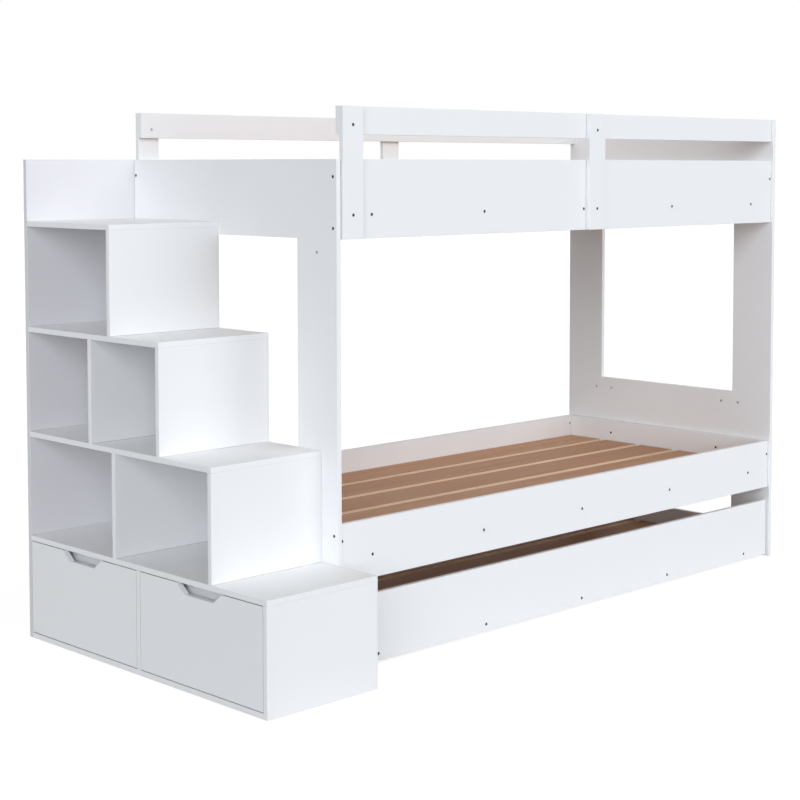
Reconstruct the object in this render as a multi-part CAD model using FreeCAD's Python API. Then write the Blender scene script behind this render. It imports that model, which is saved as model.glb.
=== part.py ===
import FreeCAD, Part
import os

# Bunk bed with a trundle bed and storage stairs, in millimetres, +Z up.
# Layout: X = 0 is the outer face of the left end frame and X grows along the bed,
# Y = 0 is the front edge of the end frames and Y grows to the rear, Z = 0 is the floor.
# Every piece is moved at the end so that the origin is the middle of the whole footprint.

# ---- boards and bed frame ----
board = 15.0                  # thickness of every melamine board
edge_ease = 0.6               # chamfer on the boards' edges
bed_length = 2050.0           # outside to outside of the end frames
bed_depth = 930.0             # front edge to rear edge of the end frames
leg_width = 162.0
guard_top = 1542.0            # top of the guard rails and of the right end frame
rail_height = 76.0            # guards' top rails
guard_gap = 66.0              # open strip between a guard's board and its top rail
guard_board_height = 215.0    # guards' boards, and the upper bunk's boards level with them
rail_recess = 7.5             # long boards stand this far inside the end frames' edges
bunk_rail_bottom = 250.0
bunk_rail_top = 414.0
lower_board_top = 575.0       # end frames' lower boards
post_width = 74.0
post_gap = 2.0                # left end frame to the end posts and top rails
middle_post_offset = 47.0     # middle posts stand this far right of the bed's middle

# ---- decks ----
batten_count = 5
batten_inset = 120.0          # end frame's inner face to the middle of the first batten
batten_width = 45.0
batten_height = 20.0
batten_lift = 65.0            # long board's lower edge to the battens' centre line
slat_count = 5
slat_gap = 28.0
slat_front_margin = 47.5      # open strip between the front board and the first slat
slat_thick = 12.0
slat_play = 0.5               # slats to the boards around them
slat_ease = 1.5

# ---- trundle bed ----
trundle_side_gap = 10.0       # to each end frame
trundle_clear = 11.0          # above the floor
trundle_grip_gap = 45.0       # top of its front board to the bunk rail above
trundle_box_height = 108.0    # its rear and end boards
trundle_batten_inset = 131.0
wheel_radius = 18.0
wheel_width = 16.0
wheel_crown = 2.5
wheel_top_gap = 6.5           # to the slats above
wheel_plate_gap = 4.0         # to the bracket's plate
wheel_side_gap = 1.0          # to each cheek of the bracket
cheek = 2.0
cheek_margin = 7.0            # past the axle's centre
plate = 3.0
plate_width = 44.0
plate_top_gap = 3.5           # bracket's plate to the slats
plate_screw_place = 16.0      # middle of the plate to its screws
axle_radius = 3.0
axle_head = 1.5
running_gap = 0.06            # radial, wheel on its axle

# ---- stairs ----
stair_width = 375.0
stair_overhang = 157.0        # first riser in front of the end frames
step_count = 4
step_rise = 305.5
step_run = 222.0
backing = 3.0                 # sheets between the shelves and the bed
glide_height = 3.0
glide_radius = 11.0
glide_inset = 45.0            # edge of a leg or of the stairs to a glide
leg_glide_margin = 1.0        # leg's face to its glide's edge

# ---- drawers ----
face_gap = 2.2                # all round a drawer's face
grip_top = 192.0              # finger cut-out, a trapezoid in the face's upper edge
grip_bottom = 122.0
grip_depth = 27.0
finger_room = 20.0            # face to the board behind it, for the fingers
runner_gap = 12.5             # drawer's side to the carcase
drawer_side = 12.0            # thickness of the boards behind the face
drawer_lift = 14.0            # drawer's sides above the bottom board
drawer_top_gap = 10.0         # drawer's sides to the tread above
drawer_rear_gap = 20.0        # drawer's back to the backing sheet
drawer_sheet = 3.0
drawer_sheet_lift = 9.0       # bottom sheet above the sides' lower edge
groove_depth = 5.0
groove_gap = 0.2
runner_lift = 60.0            # runners above the sides' lower edge
runner_height = 34.0
runner_metal = 1.5
slide_gap = 0.5               # slide to its channel's back, and the channel to the drawer's side
slide_edge_gap = 1.5          # slide to each lip of its channel

# ---- fasteners ----
head_radius = 4.5
head_height = 3.0
head_sink = 0.8               # below the board's face
screw_radius = 2.2
screw_length = 45.0
short_screw_length = 26.0
plate_screw_length = 15.0
hole_gap = 0.1                # radial, round every fastener
end_screw_inset = 30.0        # long board's edges to the screws in its ends
guard_screw_drop = 47.0       # guard board's top to the upper screws in its ends
post_screw_rise = 26.0        # top rail's lower edge to the posts' upper screws
cross_screw_drop = 16.5       # long board's upper end screws to the cross boards' screws
cross_screw_place = 243.5     # bed's middle line to the cross boards' screws
nut_inset = 22.0              # long board's end to its barrel nuts
nut_radius = 4.5
nut_length = 12.0
tie_radius = 3.0
tie_head_radius = 4.5
tie_skin = 1.0                # tie's heads below the board's face
tie_drop = 38.0               # lower board's edges to the ties at its ends
tie_in_board = 48.0           # joint to the tie's head in the lower board
tie_in_leg = 24.0             # joint to the tie's head in the leg beside it
tie_down_leg = 36.0           # joint to the tie's head in the leg under the upper board
dowel_radius = 3.0
dowel_length = 20.0
dowel_inset = 30.0            # board's edges to its dowels
stair_screw_inset = 50.0      # tread's ends to the screws through the stairs' rear panel
stair_tie_inset = 50.0        # end frame's rear edge to the screws into the treads

# ---- places worked out from the sizes above ----
inner_left = board
inner_right = bed_length - board
deck_left = inner_left + board
deck_right = inner_right - board
bed_middle = bed_length / 2
middle_line = bed_depth / 2
front_face = rail_recess
front_inner = front_face + board
rear_face = bed_depth - rail_recess
rear_inner = rear_face - board
rail_bottom = guard_top - rail_height
low_end_height = rail_bottom - guard_gap               # left end frame, guard boards, stairs' panel
guard_bottom = low_end_height - guard_board_height
bunk_end_screw = bunk_rail_top - end_screw_inset
guard_end_screw = low_end_height - guard_screw_drop
trundle_left = inner_left + trundle_side_gap
trundle_right = inner_right - trundle_side_gap
trundle_front = front_face
trundle_front_inner = trundle_front + board
trundle_rear = rear_inner
trundle_rear_inner = trundle_rear - board
trundle_front_top = bunk_rail_bottom - trundle_grip_gap
trundle_box_top = trundle_clear + trundle_box_height
trundle_slat_bottom = 2 * wheel_radius + wheel_top_gap
stair_left = -stair_width
stair_right = -backing
stair_front = -stair_overhang
stair_rear = rear_face + board
stair_rear_inner = stair_rear - board
stair_floor = glide_height + board
footprint_middle = FreeCAD.Vector((stair_left + bed_length) / 2, (stair_front + stair_rear) / 2, 0)

pieces = {}                   # piece name: its solids, still without holes
fasteners = {}                # fastener group: its solids, which get no holes
holes = []                    # what every fastener takes out of the boards around it


def box(low, high):
    """A plain block between two corners."""
    size = [high[i] - low[i] for i in range(3)]
    return Part.makeBox(size[0], size[1], size[2], FreeCAD.Vector(*low))


def lies_on(edge, axis, place):
    """True if an edge lies in the plane at a place along an axis."""
    return all(abs(vertex.Point[axis] - place) < edge_ease for vertex in edge.Vertexes)


def eased(low, high, ease=edge_ease, butts=()):
    """A board between two corners, with its edges broken by a small chamfer.

    butts names the faces that meet another board edge to edge, as (axis, place). Their
    edges stay sharp, so that the joint closes without a groove."""
    shape = box(low, high)
    free = [edge for edge in shape.Edges if not any(lies_on(edge, *butt) for butt in butts)]
    return shape.makeChamfer(ease, free)


def rod(radius, length, start, along):
    """A cylinder from a start point in a direction."""
    return Part.makeCylinder(radius, length, FreeCAD.Vector(*start), FreeCAD.Vector(*along))


def moved(point, along, distance):
    """The point at a distance from another in a direction."""
    return tuple(point[i] + along[i] * distance for i in range(3))


def add(name, solid):
    """One more solid of a piece."""
    pieces.setdefault(name, []).append(solid)


def fasten(group, solid, hole):
    """One more fastener, and the hole that every board around it gets."""
    fasteners.setdefault(group, []).append(solid)
    holes.append(hole)


# ---------------------------------------------------------------- fasteners

def screw(group, face_point, into, length=screw_length):
    """A screw sunk in a board's face, and the stepped hole that takes it."""
    start = moved(face_point, into, head_sink)
    neck = moved(start, into, head_height)
    shank_length = length - head_height
    head = rod(head_radius, head_height, start, into)
    shank = rod(screw_radius, shank_length, neck, into)
    seat = rod(head_radius + hole_gap, head_sink + head_height, face_point, into)
    pilot = rod(screw_radius + hole_gap, shank_length, neck, into)
    fasten(group, head.fuse(shank).removeSplitter(), seat.fuse(pilot))


def tie(joint_point, across, out, back, ahead, head_places):
    """A tie rod inside the thickness of two boards, over the joint between them.

    It runs from back before the joint to ahead after it. At each head place a round
    head stands across the rod and shows in the face that out points to."""
    start = moved(joint_point, across, -back)
    solid = rod(tie_radius, back + ahead, start, across)
    hole = rod(tie_radius + hole_gap, back + ahead, start, across)
    head_start = -(tie_radius + tie_skin)
    face = board / 2
    for place in head_places:
        seat = moved(moved(joint_point, across, place), out, head_start)
        solid = solid.fuse(rod(tie_head_radius, face - tie_skin - head_start, seat, out))
        hole = hole.fuse(rod(tie_head_radius + hole_gap, face - head_start, seat, out))
    fasten("frame_connectors", solid.removeSplitter(), hole)


def barrel_nut(x, inner_face, into, z):
    """A nut let into a long board's inner face, with the end screw through it."""
    start = (x, inner_face, z)
    along = (0, into, 0)
    nut = rod(nut_radius, nut_length, start, along)
    side = (x - nut_radius, inner_face + into * board / 2, z)
    nut = nut.cut(rod(screw_radius + hole_gap, 2 * nut_radius, side, (1, 0, 0)))
    fasten("frame_connectors", nut, rod(nut_radius + hole_gap, nut_length, start, along))


def sleeve_nut(x, inner_face, into, z):
    """A nut let into a rail's inner face, round the end of a screw from the outer face."""
    start = (x, inner_face, z)
    along = (0, into, 0)
    nut = rod(nut_radius, nut_length, start, along)
    nut = nut.cut(rod(screw_radius + hole_gap, nut_length, start, along))
    fasten("frame_connectors", nut, rod(nut_radius + hole_gap, nut_length, start, along))


def dowel(group, joint_point, across):
    """A dowel sunk half and half in two pieces."""
    start = moved(joint_point, across, -dowel_length / 2)
    fasten(group, rod(dowel_radius, dowel_length, start, across),
           rod(dowel_radius + hole_gap, dowel_length, start, across))


def glide(x, y, radius):
    """A plastic glide under a board."""
    add("floor_glides", rod(radius, glide_height, (x, y, 0), (0, 0, 1)))


# ---------------------------------------------------------------- bed frame

def end_frame(side, x, top, out):
    """Two legs, an upper board that stands on them and a lower board between them."""
    far = x + board
    middle = x + board / 2
    outward = (out, 0, 0)
    inward = (-out, 0, 0)
    leg_places = (("front_leg", 0, 1), ("rear_leg", bed_depth - leg_width, -1))
    for name, y, to_middle in leg_places:
        leg_end = y + leg_width
        joint_y = leg_end if to_middle > 0 else y
        butts = ((1, joint_y), (2, guard_bottom))
        leg = eased((x, y, glide_height), (far, leg_end, guard_bottom), butts=butts)
        add(side + "_" + name, leg)
        for glide_y in (y + glide_inset, leg_end - glide_inset):
            glide(middle, glide_y, board / 2 - leg_glide_margin)
        top_joint = (middle, y + leg_width / 2, guard_bottom)
        tie(top_joint, (0, 0, -1), outward, tie_in_leg, tie_down_leg, (tie_down_leg,))
        for z in (bunk_rail_bottom + tie_drop, lower_board_top - tie_drop):
            heads = (-tie_in_leg, tie_in_board)
            tie((middle, joint_y, z), (0, to_middle, 0), inward, tie_in_leg, tie_in_board, heads)
    upper = eased((x, 0, guard_bottom), (far, bed_depth, top), butts=((2, guard_bottom),))
    add(side + "_upper_board", upper)
    low = (x, leg_width, bunk_rail_bottom)
    high = (far, bed_depth - leg_width, lower_board_top)
    add(side + "_lower_board", eased(low, high, butts=((1, low[1]), (1, high[1]))))


def long_board(name, x, y, bottom, top, screw_heights):
    """A board along the bed, screwed to the end frames through their outer faces.

    A board that starts clear of the left end frame is screwed only to the right one."""
    add(name, eased((x, y, bottom), (inner_right, y + board, top)))
    at_front = y < middle_line
    inner_face = y + board if at_front else y
    into = -1 if at_front else 1
    for z in screw_heights:
        screw("frame_screws", (bed_length, y + board / 2, z), (-1, 0, 0))
        barrel_nut(inner_right - nut_inset, inner_face, into, z)
        if x == inner_left:
            screw("frame_screws", (0, y + board / 2, z), (1, 0, 0))
            barrel_nut(inner_left + nut_inset, inner_face, into, z)


def guard(side, board_y, post_y, out):
    """Wide lower board and top rail, joined by two posts on their outer faces."""
    heights = (guard_bottom + end_screw_inset, guard_end_screw)
    long_board(side + "_guard_board", inner_left, board_y, guard_bottom, low_end_height, heights)
    rail_start = inner_left + post_gap
    rail_screw = (rail_bottom + guard_top) / 2
    long_board(side + "_guard_rail", rail_start, board_y, rail_bottom, guard_top, (rail_screw,))
    face = post_y + board if out > 0 else post_y
    inner_face = board_y if out > 0 else board_y + board
    end_place = rail_start + post_width / 2
    for name, x in (("end_post", end_place), ("middle_post", bed_middle + middle_post_offset)):
        low = (x - post_width / 2, post_y, guard_bottom)
        high = (x + post_width / 2, post_y + board, guard_top)
        add(side + "_guard_" + name, eased(low, high))
        for z in (guard_bottom + batten_lift, rail_bottom + post_screw_rise):
            screw("frame_screws", (x, face, z), (0, -out, 0), short_screw_length)
            sleeve_nut(x, inner_face, out, z)


def battens(name, group, front, rear, first, last, centre):
    """Cross battens between a front and a rear board, screwed through both."""
    pitch = (last - first) / (batten_count - 1)
    for i in range(batten_count):
        x = first + i * pitch
        low = (x - batten_width / 2, front + board, centre - batten_height / 2)
        high = (x + batten_width / 2, rear - board, centre + batten_height / 2)
        add(name, eased(low, high, slat_ease))
        screw(group, (x, front, centre), (0, 1, 0))
        screw(group, (x, rear, centre), (0, -1, 0))


def slats(name, left, right, front, rear, bottom):
    """Lengthwise slats of even width that fill the deck, counted from the rear."""
    width = rear - slat_play - front - slat_front_margin - (slat_count - 1) * slat_gap
    width = width / slat_count
    for i in range(slat_count):
        y = rear - slat_play - i * (width + slat_gap)
        low = (left + slat_play, y - width, bottom)
        add(name, eased(low, (right - slat_play, y, bottom + slat_thick), slat_ease))


def deck(slat_name, bottom, top, end_screw):
    """Cross boards at the ends, battens and slats of one bunk."""
    cross_screw = end_screw - cross_screw_drop
    for x, inner_face, into in ((inner_left, deck_left, -1), (deck_right, deck_right, 1)):
        add("cross_boards", eased((x, front_inner, bottom), (x + board, rear_inner, top)))
        for y in (middle_line - cross_screw_place, middle_line + cross_screw_place):
            screw("frame_screws", (inner_face, y, cross_screw), (into, 0, 0), short_screw_length)
        screw("frame_screws", (x + board / 2, front_face, cross_screw), (0, 1, 0))
        screw("frame_screws", (x + board / 2, rear_face, cross_screw), (0, -1, 0))
    centre = bottom + batten_lift
    first = inner_left + batten_inset
    last = inner_right - batten_inset
    battens("deck_battens", "frame_screws", front_face, rear_face, first, last, centre)
    slats(slat_name, deck_left, deck_right, front_inner, rear_inner, centre + batten_height / 2)


def bed():
    end_frame("left", 0, low_end_height, -1)
    end_frame("right", inner_right, guard_top, 1)
    guard("front", front_face, front_face - board, -1)
    guard("rear", rear_inner, rear_face, 1)
    heights = (bunk_rail_bottom + end_screw_inset, bunk_end_screw)
    for name, y in (("lower_front_rail", front_face), ("lower_rear_rail", rear_inner)):
        long_board(name, inner_left, y, bunk_rail_bottom, bunk_rail_top, heights)
    deck("lower_slats", bunk_rail_bottom, bunk_rail_top, bunk_end_screw)
    deck("upper_slats", guard_bottom, low_end_height, guard_end_screw)


# ---------------------------------------------------------------- trundle bed

def caster(wheel_name, x, board_face, turn):
    """Bracket, axle and wheel on the inner face of a trundle board.

    turn is +1 or -1 in Y, the way from the board into the trundle."""
    axle_y = board_face + turn * (plate + wheel_plate_gap + wheel_radius)
    cheek_face = wheel_width / 2 + wheel_side_gap
    axle_half = cheek_face + cheek
    plate_top = trundle_slat_bottom - plate_top_gap
    plate_face = board_face + turn * plate
    y_low, y_high = sorted((board_face, plate_face))
    low = (x - plate_width / 2, y_low, trundle_clear)
    bracket = box(low, (x + plate_width / 2, y_high, plate_top))
    y_low, y_high = sorted((board_face, axle_y + turn * cheek_margin))
    for x_low in (x - axle_half, x + cheek_face):
        low = (x_low, y_low, trundle_clear)
        bracket = bracket.fuse(box(low, (x_low + cheek, y_high, wheel_radius + cheek_margin)))
    start = (x - axle_half, axle_y, wheel_radius)
    axle = rod(axle_radius, 2 * axle_half, start, (1, 0, 0))
    add("caster_brackets", bracket.cut(axle).removeSplitter())
    for x_low in (x - axle_half - axle_head, x + axle_half):
        head_start = (x_low, axle_y, wheel_radius)
        axle = axle.fuse(rod(axle_radius + axle_head, axle_head, head_start, (1, 0, 0)))
    add("caster_axles", axle.removeSplitter())
    wheel = rod(wheel_radius, wheel_width, (x - wheel_width / 2, axle_y, wheel_radius), (1, 0, 0))
    rims = [edge for edge in wheel.Edges if edge.isClosed()]
    wheel = wheel.makeFillet(wheel_crown, rims)
    add(wheel_name, wheel.cut(rod(axle_radius + running_gap, 2 * axle_half, start, (1, 0, 0))))
    screw_z = (trundle_clear + plate_top) / 2
    head_face = plate_face + turn * (head_sink + head_height)
    for screw_x in (x - plate_screw_place, x + plate_screw_place):
        point = (screw_x, head_face, screw_z)
        screw("trundle_fasteners", point, (0, -turn, 0), plate_screw_length)


def trundle():
    """Low bed on casters: a tall front board, and lower boards on the other sides.

    The casters stand halfway between the two outer battens at each end."""
    left, right = trundle_left, trundle_right
    low = (left, trundle_front, trundle_clear)
    add("trundle_front_board", eased(low, (right, trundle_front_inner, trundle_front_top)))
    low = (left, trundle_rear_inner, trundle_clear)
    add("trundle_rear_board", eased(low, (right, trundle_rear, trundle_box_top)))
    for x in (left, right - board):
        low = (x, trundle_front_inner, trundle_clear)
        high = (x + board, trundle_rear_inner, trundle_box_top)
        add("trundle_end_boards", eased(low, high))
        for y in (trundle_front_inner, trundle_rear_inner):
            for z in (trundle_clear + dowel_inset, trundle_box_top - dowel_inset):
                dowel("trundle_fasteners", (x + board / 2, y, z), (0, 1, 0))
    first = left + trundle_batten_inset
    last = right - trundle_batten_inset
    centre = trundle_slat_bottom - batten_height / 2
    battens("trundle_battens", "trundle_fasteners", trundle_front, trundle_rear, first, last, centre)
    slats("trundle_slats", left + board, right - board, trundle_front_inner,
          trundle_rear_inner, trundle_slat_bottom)
    between = (last - first) / (batten_count - 1) / 2
    for x in (first + between, last - between):
        caster("front_wheels", x, trundle_front_inner, 1)
        caster("rear_wheels", x, trundle_rear_inner, -1)


# ---------------------------------------------------------------- stairs

def stairs():
    """Carcase open to the left: a tread and a riser for each step, over open shelves."""
    low = (stair_left, stair_front + board, glide_height)
    add("stair_bottom_board", eased(low, (stair_right, stair_rear_inner, stair_floor)))
    low = (stair_left, stair_rear_inner, glide_height)
    add("stair_rear_panel", eased(low, (0, stair_rear, low_end_height)))
    screw_places = (stair_left + stair_screw_inset, stair_right - stair_screw_inset)
    screw_heights = [glide_height + board / 2]
    for step in range(1, step_count + 1):
        y = stair_front + (step - 1) * step_run
        top = step * step_rise
        under = top - board
        below = glide_height if step == 1 else top - step_rise
        floor = stair_floor if step == 1 else below
        add("tread_%d" % step, eased((stair_left, y, under), (stair_right, stair_rear_inner, top)))
        add("riser_%d" % step, eased((stair_left, y, below), (stair_right, y + board, under)))
        add("stair_backing_sheets", box((stair_right, y, below), (0, stair_rear_inner, top)))
        if step < step_count:
            middle = (y + board + stair_rear_inner) / 2
            low = (stair_left, middle - board / 2, floor)
            add("dividers", eased(low, (stair_right, middle + board / 2, under)))
        tread_middle = top - board / 2
        screw_heights.append(tread_middle)
        tie_point = (board, bed_depth - stair_tie_inset, tread_middle)
        screw("stair_screws", tie_point, (-1, 0, 0))
    for x in screw_places:
        for z in screw_heights:
            screw("stair_screws", (x, stair_rear, z), (0, -1, 0))
        for y in (stair_front + glide_inset, stair_rear_inner - glide_inset):
            glide(x, y, glide_radius)


def drawer_face(name, y_low, y_high, top):
    """Inset face, with a trapezoid cut in its upper edge for the fingers."""
    face_top = top - face_gap
    low = (stair_left, y_low + face_gap, stair_floor + face_gap)
    face = eased(low, (stair_left + board, y_high - face_gap, face_top))
    middle = (y_low + y_high) / 2
    over = face_top + face_gap
    outline = [(-grip_top / 2, over), (-grip_top / 2, face_top),
               (-grip_bottom / 2, face_top - grip_depth), (grip_bottom / 2, face_top - grip_depth),
               (grip_top / 2, face_top), (grip_top / 2, over), (-grip_top / 2, over)]
    corners = [FreeCAD.Vector(stair_left, middle + across, z) for across, z in outline]
    cutter = Part.Face(Part.makePolygon(corners)).extrude(FreeCAD.Vector(board, 0, 0))
    add(name + "_face", face.cut(cutter))


def runner(name, wall, turn, z, left, right):
    """A channel on the carcase wall, and the bar on the drawer's side that runs in it."""
    side = wall + turn * runner_gap
    lip = side - turn * (runner_metal + slide_gap)
    y_low, y_high = sorted((wall, wall + turn * runner_metal))
    channel = box((left, y_low, z), (right, y_high, z + runner_height))
    y_low, y_high = sorted((wall, lip))
    for low_z in (z, z + runner_height - runner_metal):
        channel = channel.fuse(box((left, y_low, low_z), (right, y_high, low_z + runner_metal)))
    add("runner_rails", channel.removeSplitter())
    y_low, y_high = sorted((wall + turn * (runner_metal + slide_gap), side))
    bar_low = z + runner_metal + slide_edge_gap
    bar_top = z + runner_height - runner_metal - slide_edge_gap
    add(name + "_slides", box((left, y_low, bar_low), (right, y_high, bar_top)))


def drawer(name, y_low, y_high):
    """A drawer between two walls of the carcase, drawn out to the left."""
    top = step_rise - board
    drawer_face(name, y_low, y_high, top)
    left = stair_left + board
    right = stair_right - drawer_rear_gap
    front = left + finger_room
    back = right - drawer_side
    outer_low = y_low + runner_gap
    outer_high = y_high - runner_gap
    inner_low = outer_low + drawer_side
    inner_high = outer_high - drawer_side
    bottom = stair_floor + drawer_lift
    side_top = top - drawer_top_gap
    sheet_z = bottom + drawer_sheet_lift
    low = (front + drawer_side - groove_depth, inner_low - groove_depth, sheet_z)
    high = (back + groove_depth, inner_high + groove_depth, sheet_z + drawer_sheet)
    add(name + "_bottom", box(low, high))
    groove = box([value - groove_gap for value in low], [value + groove_gap for value in high])
    walls = (((left, outer_low, bottom), (right, inner_low, side_top)),
             ((left, inner_high, bottom), (right, outer_high, side_top)),
             ((front, inner_low, bottom), (front + drawer_side, inner_high, side_top)),
             ((back, inner_low, bottom), (right, inner_high, side_top)))
    for low, high in walls:
        add(name + "_sides", eased(low, high).cut(groove))
    for wall, turn in ((y_low, 1), (y_high, -1)):
        runner(name, wall, turn, bottom + runner_lift, left, right)
        joint_y = wall + turn * (runner_gap + drawer_side)
        for z in (bottom + dowel_inset, side_top - dowel_inset):
            dowel(name + "_dowels", (left, joint_y - turn * drawer_side / 2, z), (1, 0, 0))
            for x in (front + drawer_side / 2, back + drawer_side / 2):
                dowel(name + "_dowels", (x, joint_y, z), (0, 1, 0))


def drawers():
    """Two drawers side by side in the lowest level."""
    front_wall = stair_front + board
    middle = (front_wall + stair_rear_inner) / 2
    drawer("front_drawer", front_wall, middle - board / 2)
    drawer("rear_drawer", middle + board / 2, stair_rear_inner)


# ---------------------------------------------------------------- assembly

def drilled(solid):
    """The solid with every fastener's hole that reaches it."""
    reaching = [hole for hole in holes if hole.BoundBox.intersect(solid.BoundBox)]
    return solid.cut(reaching) if reaching else solid


def write(name, solids):
    shape = solids[0] if len(solids) == 1 else Part.makeCompound(solids)
    shape.translate(-footprint_middle)
    shape.exportStep("parts/%s.step" % name)


os.makedirs("parts", exist_ok=True)
bed()
trundle()
stairs()
drawers()
for piece_name, piece_solids in pieces.items():
    write(piece_name, [drilled(solid) for solid in piece_solids])
for group_name, group_solids in fasteners.items():
    write(group_name, group_solids)
print(len(pieces) + len(fasteners), "pieces written")
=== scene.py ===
import math

import bmesh
import bpy
from mathutils import Matrix, Vector


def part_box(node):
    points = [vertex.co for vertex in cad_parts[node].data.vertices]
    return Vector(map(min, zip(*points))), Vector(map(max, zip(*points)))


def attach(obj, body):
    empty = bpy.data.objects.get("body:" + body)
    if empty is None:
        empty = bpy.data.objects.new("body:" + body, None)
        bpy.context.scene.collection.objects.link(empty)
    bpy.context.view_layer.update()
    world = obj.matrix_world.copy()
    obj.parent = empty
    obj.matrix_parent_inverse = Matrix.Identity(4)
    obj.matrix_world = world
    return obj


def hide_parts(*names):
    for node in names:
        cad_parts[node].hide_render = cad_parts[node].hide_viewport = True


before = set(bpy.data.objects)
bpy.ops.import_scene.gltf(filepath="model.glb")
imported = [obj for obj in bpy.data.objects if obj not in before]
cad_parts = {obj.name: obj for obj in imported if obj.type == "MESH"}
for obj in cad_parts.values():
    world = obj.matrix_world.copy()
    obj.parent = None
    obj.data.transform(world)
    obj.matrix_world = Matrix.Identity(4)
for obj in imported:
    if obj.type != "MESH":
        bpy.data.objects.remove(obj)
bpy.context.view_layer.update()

# ---------------------------------------------------------------- end frames
# Two legs, an upper board and a lower board make each end of the bed.
# They are cut from 15 mm chipboard under white melamine foil, with white banding on
# every edge, and are pulled together edge to edge by ties inside the boards.

MELAMINE_WHITE = (0.918, 0.922, 0.932)
MELAMINE_CLOUD = (0.907, 0.911, 0.921)
MELAMINE_EDGE = (0.920, 0.924, 0.934)
MELAMINE_CLOUDS = (3, 3, 3)             # in a metre, along X, Y and Z
MELAMINE_SPECULAR = 0.42
BOARD_FACE = (0.5, 0.9)                 # how squarely a face looks along the thin axis
PEARL_GRAIN = (650, 650, 650)
PEARL_DETAIL = 1.0
PEARL_ROUGHNESS = (0.34, 0.44)
PEARL_DEPTH = 0.00008
PEARL_STRENGTH = 0.25
MELAMINE_SEAM_SHADE = (0.38, 0.38, 0.39)     # painted shade in the seams and inner corners where boards meet
SEAM_SHADE_REACH = 0.003
SEAM_SHADE_SAMPLES = 4
SEAM_SHADE_OPEN = (0.35, 0.75)               # open air round a point: all in the seam, all clear
MIX_FIRST, MIX_SECOND, MIX_RESULT = 6, 7, 2     # a Mix node's colour sockets


def new_finish(name):
    """A material with one surface shader, and the point on the object it is asked at."""
    finish = bpy.data.materials.new(name)
    finish.use_nodes = True
    tree = finish.node_tree
    tree.nodes.clear()
    surface = tree.nodes.new("ShaderNodeBsdfPrincipled")
    output = tree.nodes.new("ShaderNodeOutputMaterial")
    tree.links.new(surface.outputs["BSDF"], output.inputs["Surface"])
    place = tree.nodes.new("ShaderNodeTexCoord").outputs["Object"]
    return finish, tree, surface, place


def mottle(tree, place, per_metre, detail=2.0):
    """Soft noise with so many blotches in a metre along X, Y and Z."""
    stretch = tree.nodes.new("ShaderNodeMapping")
    stretch.inputs["Scale"].default_value = per_metre
    noise = tree.nodes.new("ShaderNodeTexNoise")
    noise.inputs["Scale"].default_value = 1.0
    noise.inputs["Detail"].default_value = detail
    tree.links.new(place, stretch.inputs["Vector"])
    tree.links.new(stretch.outputs["Vector"], noise.inputs["Vector"])
    return noise.outputs["Fac"]


def ranged(tree, amount, low, high, start=0.3, end=0.7):
    """A noise's middle part spread over a range of values."""
    spread = tree.nodes.new("ShaderNodeMapRange")
    spread.inputs["From Min"].default_value = start
    spread.inputs["From Max"].default_value = end
    spread.inputs["To Min"].default_value = low
    spread.inputs["To Max"].default_value = high
    tree.links.new(amount, spread.inputs["Value"])
    return spread.outputs["Result"]


def tinted(tree, amount, first, second):
    """From the first colour to the second. Either may be another tint's output."""
    mix = tree.nodes.new("ShaderNodeMix")
    mix.data_type = "RGBA"
    tree.links.new(amount, mix.inputs[0])
    for number, colour in ((MIX_FIRST, first), (MIX_SECOND, second)):
        if isinstance(colour, tuple):
            mix.inputs[number].default_value = (*colour, 1.0)
        else:
            tree.links.new(colour, mix.inputs[number])
    return mix.outputs[MIX_RESULT]


def embossed(tree, surface, amount, depth, strength):
    """Raises and sinks the surface by a noise, to a depth in metres."""
    bump = tree.nodes.new("ShaderNodeBump")
    bump.inputs["Distance"].default_value = depth
    bump.inputs["Strength"].default_value = strength
    tree.links.new(amount, bump.inputs["Height"])
    tree.links.new(bump.outputs["Normal"], surface.inputs["Normal"])


def squarely(tree, axis):
    """How squarely a face looks along an axis, either way: from 0 to 1, straight along it."""
    facing = tree.nodes.new("ShaderNodeSeparateXYZ")
    normal = tree.nodes.new("ShaderNodeTexCoord").outputs["Normal"]
    tree.links.new(normal, facing.inputs["Vector"])
    either_way = tree.nodes.new("ShaderNodeMath")
    either_way.operation = "ABSOLUTE"
    tree.links.new(facing.outputs[axis], either_way.inputs[0])
    return either_way.outputs["Value"]


def melamine(name, thin_axis, white=MELAMINE_WHITE, cloudy=MELAMINE_CLOUD, banding=MELAMINE_EDGE):
    """White foil with a pearl grain on the faces that look along the thin axis, banding on
    the others, and painted shade in the seams and inner corners where boards meet."""
    finish, tree, surface, place = new_finish(name)
    cloud = ranged(tree, mottle(tree, place, MELAMINE_CLOUDS), 0.0, 1.0)
    foil = tinted(tree, cloud, white, cloudy)
    on_face = ranged(tree, squarely(tree, thin_axis), 0.0, 1.0, *BOARD_FACE)
    clean = tinted(tree, on_face, banding, foil)
    # painted shade: ambient occlusion darkens the colour within a few millimetres of other surfaces
    seam_shade = tree.nodes.new("ShaderNodeAmbientOcclusion")
    seam_shade.samples = SEAM_SHADE_SAMPLES
    seam_shade.inputs["Distance"].default_value = SEAM_SHADE_REACH
    open_air = ranged(tree, seam_shade.outputs["AO"], 0.0, 1.0, *SEAM_SHADE_OPEN)
    tree.links.new(tinted(tree, open_air, MELAMINE_SEAM_SHADE, clean), surface.inputs["Base Color"])
    pearl = mottle(tree, place, PEARL_GRAIN, PEARL_DETAIL)
    tree.links.new(ranged(tree, pearl, *PEARL_ROUGHNESS), surface.inputs["Roughness"])
    embossed(tree, surface, pearl, PEARL_DEPTH, PEARL_STRENGTH)
    surface.inputs["Specular IOR Level"].default_value = MELAMINE_SPECULAR
    return finish


def dress(finish, *nodes):
    """Gives CAD nodes their finish."""
    for node in nodes:
        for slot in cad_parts[node].material_slots:
            slot.material = finish


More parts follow.
